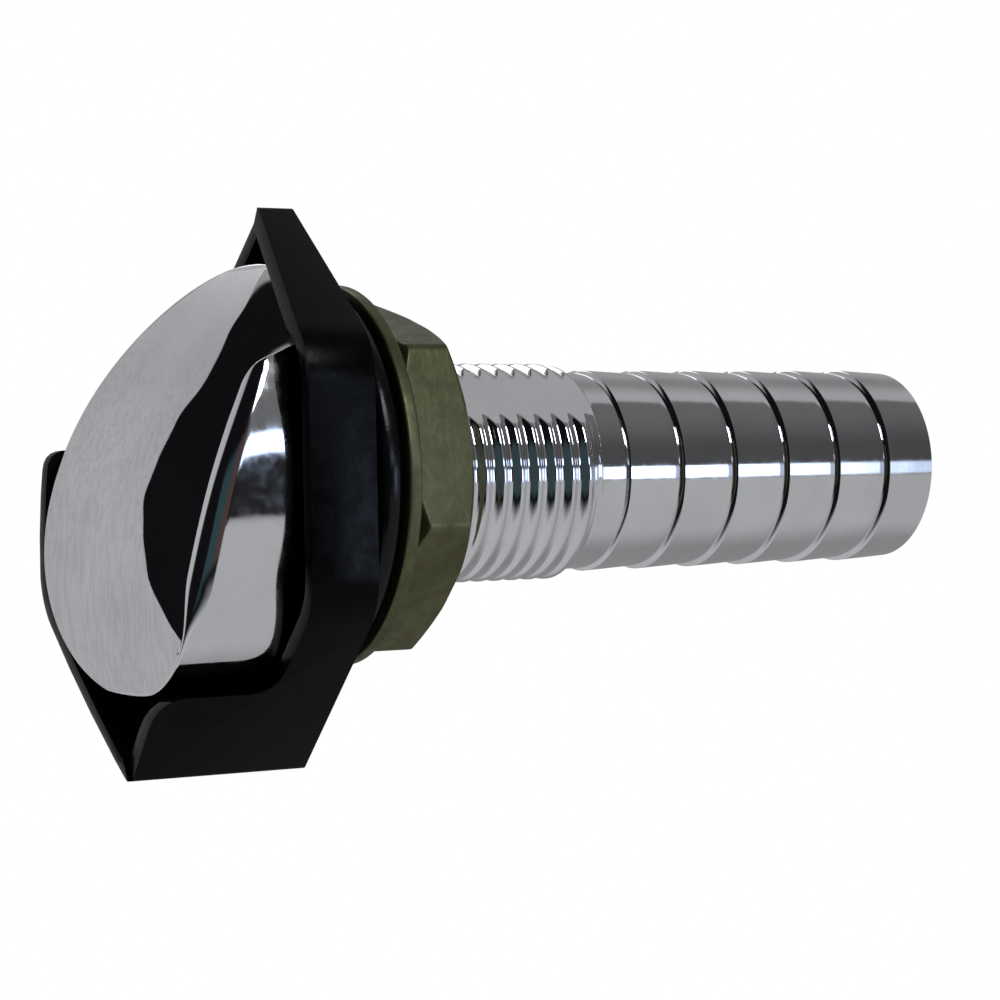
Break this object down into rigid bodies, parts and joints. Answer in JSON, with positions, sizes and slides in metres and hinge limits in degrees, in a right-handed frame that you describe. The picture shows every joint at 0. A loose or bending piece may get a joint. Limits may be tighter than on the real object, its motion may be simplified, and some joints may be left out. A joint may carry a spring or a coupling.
{
  "type": "through-hull sea valve",
  "caption": "Threaded through-hull stem with a barbed hose tail, hex nut, gasket, six-sided shroud and hooded push-pull valve cap.",
  "frame": {"origin": "on the stem axis at the hull seat, the back face of the gasket", "axes": "+Y along the stem towards the hose end, +Z towards the shroud's upper tip, +X towards the open side of the shroud"},
  "size_m": [0.0352, 0.0858, 0.0514],
  "materials": {
    "chrome": "polished chrome plate over cast brass",
    "dull_brass": "dull, slightly tarnished machined brass",
    "black_plastic": "satin black moulded plastic",
    "black_rubber": "smooth black rubber",
    "stainless": "turned stainless steel",
    "white_plastic": "machined white acetal",
    "red_fibre": "pressed red fibre"
  },
  "bodies": {
    "stem": {"valve_body": "chrome", "shroud": "black_plastic", "hull_gasket": "black_rubber", "body_sealing_washer": "red_fibre", "shroud_lock_washer": "stainless", "shroud_ring_nut": "dull_brass", "valve_seat": "stainless", "anti_turn_pin": "stainless", "rod_guide": "white_plastic", "guide_bush": "dull_brass", "guide_retaining_ring": "stainless"},
    "cap": {"hooded_cap": "chrome", "plunger_rod": "stainless", "seal_washer": "black_rubber", "seal_retainer": "stainless", "rod_lock_nut": "stainless", "stop_washer": "stainless", "stop_clip": "stainless"},
    "washer": {"backing_washer": "dull_brass"},
    "nut": {"hex_nut": "dull_brass"}
  },
  "joints": [
    {"name": "cap_slide", "type": "slide", "parent": "stem", "child": "cap", "axis": [0, -1, 0], "range_m": [0, 0.006]},
    {"name": "washer_slide", "type": "slide", "parent": "stem", "child": "washer", "axis": [0, 1, 0], "range_m": [0, 0.0145]},
    {"name": "nut_turn", "type": "hinge", "parent": "washer", "child": "nut", "pos_m": [0, 0.005, 0], "axis": [0, 1, 0], "range_deg": [-0.5, 2879.6]}
  ],
  "couplings": [
    {"joint": "nut_turn", "follows": "washer_slide", "rad_per_m": 3463.7}
  ]
}
